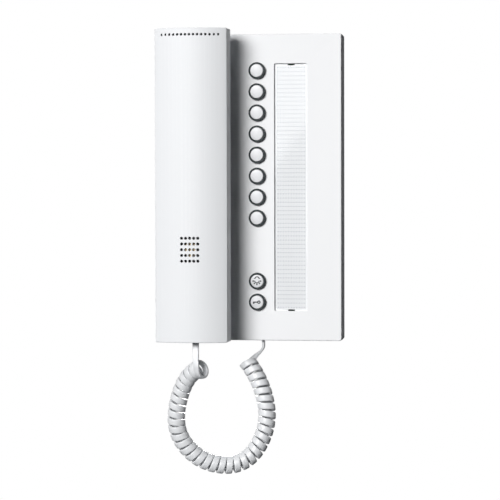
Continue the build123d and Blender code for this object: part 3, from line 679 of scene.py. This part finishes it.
# Handset rear: a shallow tray with the ear and mouth cups, their sound holes and two screw wells
cupValues = {
    "tip": -0.0130,
    "tipRadius": 0.0185,
    "flare": math.tan(math.radians(12)),
    "tipEdge": 0.0012,
    "wall": 0.0020,
    "holes": {"ear": (0.0012, 0.0060, 6), "mouth": (0.0008, 0.0026, 4)},  # radius, ring and count
    "trayDepth": 0.0045,
    "backEdge": 0.0009,
    "screwHead": 0.0028,
    "screwWell": 0.0032,
    "screwDepth": 0.0020,
}
rearLow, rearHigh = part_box("handset_rear_shell")
handsetBack = parting + cupValues["trayDepth"]
cupPlaces = {"ear": middleOf("ear_capsule", 2), "mouth": middleOf("microphone_capsule", 2)}
screwLow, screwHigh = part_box("handset_screws")
screwPlaces = (screwLow.z + cupValues["screwHead"], screwHigh.z - cupValues["screwHead"])


def addFlare(name, z, growth, back, front):
    # A cup, its hollow or its cradle: a cone that widens towards the handset
    flare, reach = cupValues["flare"], cupValues["tipRadius"] + growth
    backRadius, frontRadius = (reach + (cupValues["tip"] - y) * flare for y in (back, front))
    return addRound(name, handsetX, z, back, front, backRadius, sides=128, frontRadius=frontRadius)


def makeHandsetRear():
    values = cupValues
    wall, tip = values["wall"], values["tip"]
    tray = addBlock("handsetRear", (rearLow.x, parting, rearLow.z), (rearHigh.x, handsetBack, rearHigh.z))
    roundEdges(tray, runsAlong(1), handsetValues["corner"], segments=5)
    roundEdges(tray, between(facesBack, facesAside), values["backEdge"], segments=6)
    roundEdges(tray, between(facesFront, facesAside), handsetValues["seam"], segments=2)
    for z in cupPlaces.values():
        cup = addFlare("cup", z, 0, tip, handsetBack - wall / 2)
        roundEdges(cup, between(facesBack, facesFlared), values["tipEdge"], segments=5)
        combine(tray, cup, "UNION")
    hollow = addBlock("rearHollow", (rearLow.x + wall, parting - wall, rearLow.z + wall),
                      (rearHigh.x - wall, handsetBack - wall, rearHigh.z - wall))
    combine(tray, hollow, "DIFFERENCE")
    for z in cupPlaces.values():
        combine(tray, addFlare("cupHollow", z, -wall, tip - wall, handsetBack - wall * 1.5), "DIFFERENCE")
    cutters, inner = [], tip - 2 * wall
    for end, z in cupPlaces.items():
        radius, ring, count = values["holes"][end]
        turns = [math.tau * number / count for number in range(count)]
        spots = [(handsetX + ring * math.cos(turn), z + ring * math.sin(turn)) for turn in turns]
        if end == "ear":
            spots.append((handsetX, z))
        cutters += [addRound("soundHole", x, up, tip + wall, inner, radius, sides=24) for x, up in spots]
    well, wellFloor = values["screwWell"], handsetBack - values["screwDepth"]
    for z in screwPlaces:
        cutters.append(addRound("screwWell", handsetX, z, handsetBack + wall, wellFloor, well, sides=40))
    combine(tray, joinUp(cutters, "rearCutters"), "DIFFERENCE")
    smooth(tray)
    return place(tray, "handset", "handset_plastic", "handset_rear_shell")


makeHandsetRear()
print("handset rear modelled")

# Panel cover: a shallow box with two cradles, the window's recess and the button holes
coverValues = {
    "corner": 0.0015,
    "frontEdge": 0.0008,
    "wall": 0.0025,
    "cradleGap": 0.0006,
    "cradleFloor": -0.0114,
    "cradleWall": 0.0020,
    "cradleLip": 0.0004,
    "windowSize": (0.0234, 0.1760),
    "windowShade": 0.0004,
    "nailNotch": (0.0052, 0.0012),
    "nailCorner": 0.0004,
    "nailInset": 0.0004,
    "windowCorner": 0.0010,
    "windowFloor": -0.0187,
    "windowWall": 0.0016,
    "buttonHole": 0.0058,
    "back": -0.0080,
}
coverLow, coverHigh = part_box("base_housing")
coverBack, coverFront = coverValues["back"], coverLow.y
buttonX = middleOf("call_1_button", 0)
windowX = middleOf("name_strip_cover", 0)
buttonNames = [f"call_{number}" for number in range(1, 9)] + ["light", "door"]
buttonHeights = {name: middleOf(f"{name}_button", 2) for name in buttonNames}


def addWindowBlock(name, growth, back, front, corner):
    # The recess is a little wider on the left and at the top, where the photograph shows a dark line
    across, up = coverValues["windowSize"]
    shade = coverValues["windowShade"]
    block = addBlock(name, (windowX - across / 2 - growth - shade, front, -up / 2 - growth),
                     (windowX + across / 2 + growth, back, up / 2 + growth + shade))
    if corner:
        roundEdges(block, runsAlong(1), corner, segments=5)
    return block


def makePanelCover():
    values = coverValues
    wall, inside = values["wall"], coverFront + values["wall"]
    cover = addBlock("panelCover", (coverLow.x, coverFront, coverLow.z),
                     (coverHigh.x, coverBack, coverHigh.z))
    roundEdges(cover, runsAlong(1), values["corner"], segments=6)
    roundEdges(cover, between(facesFront, facesAside), values["frontEdge"], segments=4)
    roundEdges(cover, between(facesBack, facesAside), handsetValues["seam"], segments=2)
    hollow = addBlock("coverHollow", (coverLow.x + wall, inside, coverLow.z + wall),
                      (coverHigh.x - wall, coverBack + wall, coverHigh.z - wall))
    combine(cover, hollow, "DIFFERENCE")
    root, clear = inside - wall / 2, coverFront - wall
    gap, floor = values["cradleGap"], values["cradleFloor"]
    thick, lip = values["cradleWall"], values["cradleLip"]
    for z in cupPlaces.values():
        combine(cover, addFlare("cradleWall", z, gap + thick, floor + thick, root), "UNION")
    rim, windowFloor = values["windowWall"], values["windowFloor"]
    combine(cover, addWindowBlock("windowWall", rim, windowFloor + rim, root, 0), "UNION")
    for z in cupPlaces.values():
        combine(cover, addFlare("cradle", z, gap, floor, clear), "DIFFERENCE")
        combine(cover, addFlare("cradleLip", z, gap + lip, coverFront + lip / 4, clear), "DIFFERENCE")
    recess = addWindowBlock("windowRecess", 0, windowFloor, clear, values["windowCorner"])
    combine(cover, recess, "DIFFERENCE")
    across, high = values["nailNotch"]  # a hole lies under each notch of the clear cover
    nailZ = values["windowSize"][1] / 2 - values["nailInset"]
    for z in (nailZ, -nailZ):
        nail = addBlock("nailHole", (windowX - across / 2, windowFloor - wall, z - high / 2),
                        (windowX + across / 2, inside + 2 * wall, z + high / 2))
        roundEdges(nail, runsAlong(1), values["nailCorner"], segments=4)
        combine(cover, nail, "DIFFERENCE")
    holes = [addRound("buttonHole", buttonX, z, inside + wall, clear, values["buttonHole"], sides=48)
             for z in buttonHeights.values()]
    combine(cover, joinUp(holes, "buttonHoles"), "DIFFERENCE")
    combine(cover, plugCutter("basePlugSlot", "base_cord_plug", coverLow.z), "DIFFERENCE")
    smooth(cover)
    return place(cover, "base", "housing_plastic", "base_housing")


makePanelCover()
print("panel cover modelled")

# Buttons: one cap and one collar are modelled, then copied down the column
buttonValues = {
    "cap": 0.00465,
    "capBack": -0.0190,
    "capFace": -0.0240,
    "capEdge": 0.00055,
    "dome": 0.00020,
    "domeRings": 8,
    "collar": (0.00495, 0.0060),
    "collarBack": -0.0208,
    "collarFace": -0.0235,
    "collarEdge": 0.0004,
    "spinSteps": 72,
    "weld": 0.000002,
}


def makeCap():
    # A round cap whose face is inset ring by ring into a low dome
    values = buttonValues
    cap = addRound("buttonCap", buttonX, 0, values["capBack"], values["capFace"], values["cap"], sides=72)
    roundEdges(cap, between(facesFront, facesAside), values["capEdge"], segments=5)
    reach = values["cap"] - values["capEdge"]
    step, rings = reach / (values["domeRings"] + 1), values["domeRings"]
    pick(cap, "FACE", frontDisc)
    for ring in range(rings):
        here, after = (1 - (ring + part) * step / reach for part in (0, 1))
        bpy.ops.mesh.inset(thickness=step, depth=values["dome"] * (here ** 2 - after ** 2))
    smooth(cap, angle=40)
    return cap


def makeCollar():
    # The collar's section, drawn as a small plate beside the button and spun round it
    values = buttonValues
    inner, outer = values["collar"]
    back, front = values["collarBack"], values["collarFace"]
    middle = (back + front) / 2
    hold()
    bpy.ops.mesh.primitive_plane_add(size=1, location=(buttonX + (inner + outer) / 2, middle, 0))
    bpy.context.object.scale = (outer - inner, back - front, 1)
    collar = settle("collar")
    pick(collar, "VERT", lambda corner: corner.co.y < middle)
    bpy.ops.mesh.bevel(offset=values["collarEdge"], segments=3, affect="VERTICES")
    bpy.ops.mesh.select_all(action="SELECT")
    bpy.ops.mesh.delete(type="ONLY_FACE")
    bpy.ops.mesh.select_all(action="SELECT")
    bpy.ops.mesh.spin(steps=values["spinSteps"], angle=math.tau, center=(buttonX, 0, 0), axis=(0, 1, 0))
    bpy.ops.mesh.select_all(action="SELECT")
    bpy.ops.mesh.remove_doubles(threshold=values["weld"])
    bpy.ops.mesh.normals_make_consistent(inside=False)
    smooth(collar, angle=40)
    return collar


# Pictograms printed on the last two caps: a part is a ring, half a ring or a bar, set from the cap's middle
printValues = {
    "proud": 0.00004,
    "depth": 0.00004,
    "overrun": 0.001,
    "sides": 40,
}
printParts = {
    "light": [
        ("ring", (0.00010, 0.0016), (0.00115, 0.0019), "upper"),
        ("bar", (-0.0017, 0.00175), (0.0011, 0.00035), 0),
        ("bar", (0.0019, 0.00175), (0.0011, 0.00035), 0),
        ("ring", (0.0, 0.0003), (0.0012, 0.0019), "lower"),
        ("bar", (-0.0026, 0.00005), (0.0012, 0.0009), 0),
        ("bar", (-0.00184, -0.00154), (0.0012, 0.0009), 45),
        ("bar", (0.0, -0.0023), (0.0009, 0.0012), 0),
        ("bar", (0.00184, -0.00154), (0.0012, 0.0009), -45),
        ("bar", (0.0026, 0.00005), (0.0012, 0.0009), 0),
    ],
    "door": [
        ("ring", (0.0014, 0.0), (0.0004, 0.00125), "whole"),
        ("bar", (-0.00125, 0.0), (0.0031, 0.0009), 0),
        ("bar", (-0.00235, -0.0004), (0.0011, 0.0016), 0),
    ],
}


def addPrintPart(kind, middle, size, option):
    x, z = buttonX + middle[0], middle[1]
    sides, overrun = printValues["sides"], printValues["overrun"]
    back, front = buttonValues["capFace"] + overrun, buttonValues["capFace"] - overrun
    if kind == "bar":
        hold()
        bpy.ops.mesh.primitive_cube_add(
            size=1, location=(x, (back + front) / 2, z), rotation=(0, math.radians(option), 0),
            scale=(size[0], back - front, size[1]))
        return settle("printBar")
    inner, outer = size
    ring = addRound("printRing", x, z, back, front, outer, sides)
    combine(ring, addRound("printBore", x, z, back + overrun, front - overrun, inner, sides), "DIFFERENCE")
    if option != "whole":
        reach = outer * 2
        low, high = (z - reach, z) if option == "upper" else (z, z + reach)
        half = addBlock("printHalf", (x - reach, front - overrun, low), (x + reach, back + overrun, high))
        combine(ring, half, "DIFFERENCE")
    return ring


def makePrint(name, cap):
    # The parts become one shape, and the cap's own dome cuts it to a thin layer on its face
    first, *others = [addPrintPart(*part) for part in printParts[name]]
    for other in others:
        combine(first, other, "UNION")
    combine(first, copyPiece(cap, "printFace", (0, -printValues["proud"], 0)), "INTERSECT")
    combine(first, copyPiece(cap, "printBack", (0, printValues["depth"], 0)), "DIFFERENCE")
    first.data.transform(Matrix.Translation((0, 0, buttonHeights[name])))
    first.name = first.data.name = f"{name}Print"
    smooth(first, angle=20)
    return place(first, f"{name}_key", "collar_plastic", finish="keyInk")


cap, collar = makeCap(), makeCollar()
for name in buttonNames:
    shift = (0, 0, buttonHeights[name])
    place(copyPiece(cap, f"{name}Cap", shift), f"{name}_key", "button_plastic", f"{name}_button")
    place(copyPiece(collar, f"{name}Collar", shift), "base", "collar_plastic", "button_collars")
for name in printParts:
    makePrint(name, cap)
for pattern in (cap, collar):
    bpy.data.objects.remove(pattern)
print("buttons and collars modelled")

# Name strip: a printed card behind a clear cover with a nail notch at each end
stripValues = {
    "airGap": 0.00005,
    "cardCorner": 0.0005,
    "cardEdge": 0.00005,
    "coverCorner": 0.00085,
    "coverEdge": 0.00012,
}


def makeCard():
    low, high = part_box("name_strip")
    low.y += stripValues["airGap"]
    card = addBlock("nameCard", low, high)
    roundEdges(card, runsAlong(1), stripValues["cardCorner"], segments=4)
    roundEdges(card, between(facesFront, facesAside), stripValues["cardEdge"], segments=2)
    smooth(card)
    return place(card, "base", "card", "name_strip")


def makeStripCover():
    low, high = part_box("name_strip_cover")
    clear = addBlock("stripCover", low, high)
    roundEdges(clear, runsAlong(1), stripValues["coverCorner"], segments=5)
    across, deep = coverValues["nailNotch"]
    radius = ((across / 2) ** 2 / deep + deep) / 2
    cutters = [addRound("notchCutter", (low.x + high.x) / 2, z, high.y + deep, low.y - deep, radius, sides=96)
               for z in (high.z + radius - deep, low.z - radius + deep)]
    combine(clear, joinUp(cutters, "notchCutters"), "DIFFERENCE")
    roundEdges(clear, between(facesFront, facesAside), stripValues["coverEdge"], segments=2)
    smooth(clear)
    return place(clear, "name_cover", "clear_cover", "name_strip_cover")


makeCard()
makeStripCover()
print("name strip modelled")

# Cord plugs: their ends stop inside the walls, and the cord enters them there
plugValues = {
    "sunk": 0.0002,
    "edge": 0.0005,
    "rim": 0.0011,
    "mouth": 0.0004,
    "latch": (0.0036, 0.0008, 0.0085),
}


def makePlug(name, node, body, wallEnd):
    values = plugValues
    low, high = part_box(node)
    low.z = wallEnd + values["sunk"]
    plug = addBlock(name, low, high)
    roundEdges(plug, runsAlong(2), values["edge"], segments=4)
    pick(plug, "FACE", lambda face: face.normal.z < -leanLimits["facing"])
    bpy.ops.mesh.inset(thickness=values["rim"])
    drawOut(0, 0, values["mouth"])
    across, deep, long = values["latch"]
    middle = (low.x + high.x) / 2
    latch = addBlock("latch", (middle - across / 2, high.y - deep, high.z - long - deep),
                     (middle + across / 2, high.y + deep / 4, high.z - deep))
    combine(plug, latch, "UNION")
    smooth(plug)
    return place(plug, body, "plug_plastic", node)


makePlug("basePlug", "base_cord_plug", "base", coverLow.z)
makePlug("handsetPlug", "handset_cord_plug", "handset", frontLow.z)
print("cord plugs modelled")

# Cord: the centre line of its coil and the two leads, close to those of the CAD model
cordValues = {
    "width": 0.0045,
    "thickness": 0.0020,
    "squareness": 0.45,
    "sectionSides": 20,
    "coilRadius": 0.0054,
    "openTurns": 1.3,  # turns at the handset's end that widen
    "openShare": 0.15,
    "turns": 35.5,
    "pointsPerTurn": 16,
    "centreSteps": 64,  # steps of the spline for each of its points
    "lineSteps": 3,
    "lookAhead": 6,
    "closest": 0.00001,
    "coilRoute": [
        (-0.0049, -0.0140, -0.1248),
        (0.0063, -0.0190, -0.1380),
        (0.0130, -0.0215, -0.1700),
        (-0.0043, -0.0250, -0.1995),
        (-0.0368, -0.0295, -0.1970),
        (-0.0568, -0.0335, -0.1710),
        (-0.0447, -0.0368, -0.1294),
        (-0.0320, -0.0450, -0.1280),
    ],
    "baseLead": [
        (0.0068, -0.0130, -0.1089),
        (0.0074, -0.0130, -0.1130),
        (0.0060, -0.0120, -0.1168),
    ],
    "handsetLead": [
        (-0.03655, -0.0470, -0.1148),
        (-0.03655, -0.0470, -0.1085),
    ],
    "leadRun": 0.004,
    "baseFace": (0, -1, 0),  # the cord's width at the panel, so that it shows edge on
    "handsetFace": (1, 0, 0),
}


def splinePoints(name, points, resolution):
    # Points along a smooth spline that has these control points
    curve = bpy.data.curves.new(name, "CURVE")
    curve.dimensions = "3D"
    curve.resolution_u = resolution
    spline = curve.splines.new("NURBS")
    spline.points.add(len(points) - 1)
    for knot, point in zip(spline.points, points):
        knot.co = (*point, 1)
    spline.order_u = 3
    spline.use_endpoint_u = True
    route = bpy.data.objects.new(name, curve)
    bpy.context.collection.objects.link(route)
    bpy.context.view_layer.update()
    mesh = bpy.data.meshes.new_from_object(route)
    found = []
    for vertex in mesh.vertices:
        if not found or (vertex.co - found[-1]).length > cordValues["closest"]:
            found.append(vertex.co.copy())
    bpy.data.meshes.remove(mesh)
    bpy.data.objects.remove(route)
    return found


def evenPoints(points, count):
    # The same line in count equal steps, as (point, direction) pairs
    lengths = [0]
    for one, two in zip(points, points[1:]):
        lengths.append(lengths[-1] + (two - one).length)
    found, at = [], 0
    for step in range(count + 1):
        along = lengths[-1] * step / count
        while at < len(points) - 2 and lengths[at + 1] < along:
            at += 1
        share = (along - lengths[at]) / (lengths[at + 1] - lengths[at])
        found.append((points[at].lerp(points[at + 1], share), (points[at + 1] - points[at]).normalized()))
    return found


def curlyRoute():
    # The cord's own points: the base lead, the helix and the handset lead, each with its width's direction
    values = cordValues
    turns, perTurn = values["turns"], values["pointsPerTurn"]
    centre = splinePoints("coilCentre", values["coilRoute"], values["centreSteps"])
    stations = round(turns * perTurn)
    helix = []
    for number, (spot, along) in enumerate(evenPoints(centre, stations)):
        back = (Vector((0, 1, 0)) - along * along.y).normalized()
        side = along.cross(back)
        turned = math.tau * turns * number / stations
        widened = max(0, 1 - (stations - number) / perTurn / values["openTurns"])
        reach = values["coilRadius"] * (1 + values["openShare"] * widened * widened * (3 - 2 * widened))
        helix.append((spot + (back * math.cos(turned) - side * math.sin(turned)) * reach, along))
    leadIn = (helix[0][0] - helix[1][0]).normalized() * values["leadRun"]
    leadOut = (helix[-1][0] - helix[-2][0]).normalized() * values["leadRun"]
    baseFace, handsetFace = Vector(values["baseFace"]), Vector(values["handsetFace"])
    route = [(Vector(point), baseFace) for point in values["baseLead"]]
    route.append((helix[0][0] + leadIn, (baseFace + helix[0][1]).normalized()))
    route += helix
    route.append((helix[-1][0] + leadOut, (handsetFace + helix[-1][1]).normalized()))
    route += [(Vector(point), handsetFace) for point in values["handsetLead"]]
    return route


def closestFaces(points, route):
    # For each point of the smooth line, the width's direction that its route point asks for
    faces, at = [], 0
    for point in points:
        ahead = route[at:at + cordValues["lookAhead"]]
        at += min(range(len(ahead)), key=lambda n: (ahead[n][0] - point).length)
        face = Vector((0, 0, 0))
        for spot, asked in route[max(at - 1, 0):at + 2]:
            face += asked / max((spot - point).length, cordValues["closest"])
        faces.append(face.normalized())
    return faces


def cordSection():
    # A flat section with round edges: across the width, then through the thickness
    half, thin = cordValues["width"] / 2, cordValues["thickness"] / 2
    sides, squareness = cordValues["sectionSides"], cordValues["squareness"]
    outline = []
    for step in range(sides):
        turned = math.tau * (step + 0.5) / sides
        across, through = math.cos(turned), math.sin(turned)
        outline.append((half * math.copysign(abs(across) ** squareness, across),
                        thin * math.copysign(abs(through) ** squareness, through)))
    return outline


def makeCord():
    route = curlyRoute()
    points = splinePoints("cordLine", [point for point, face in route], cordValues["lineSteps"])
    faces = closestFaces(points, route)
    section = cordSection()
    form = bmesh.new()
    uvLayer = form.loops.layers.uv.new("alongCord")
    rings, lengths, run = [], [], 0
    for number, point in enumerate(points):
        before, after = points[max(number - 1, 0)], points[min(number + 1, len(points) - 1)]
        along = (after - before).normalized()
        width = (faces[number] - along * faces[number].dot(along)).normalized()
        through = along.cross(width)
        rings.append([form.verts.new(point + width * a + through * b) for a, b in section])
        run += (point - points[number - 1]).length if number else 0
        lengths.append(run)
    count = len(section)
    for near, far, start, end in zip(rings, rings[1:], lengths, lengths[1:]):
        for step in range(count):
            after = (step + 1) % count
            face = form.faces.new((near[step], near[after], far[after], far[step]))
            face.smooth = True
            left, right = step / count, (step + 1) / count
            for corner, spot in zip(face.loops, ((left, start), (right, start), (right, end), (left, end))):
                corner[uvLayer].uv = spot
    form.faces.new(rings[0][::-1])
    form.faces.new(rings[-1])
    bmesh.ops.recalc_face_normals(form, faces=form.faces)
    mesh = bpy.data.meshes.new("curlyCord")
    form.to_mesh(mesh)
    form.free()
    cord = bpy.data.objects.new("curlyCord", mesh)
    bpy.context.collection.objects.link(cord)
    cord.data.materials.append(materials["cord_jacket"])
    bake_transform(cord)
    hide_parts("cord_coil", "cord_base_lead", "cord_handset_lead")
    print("cord length", round(run, 4))
    return cord


makeCord()
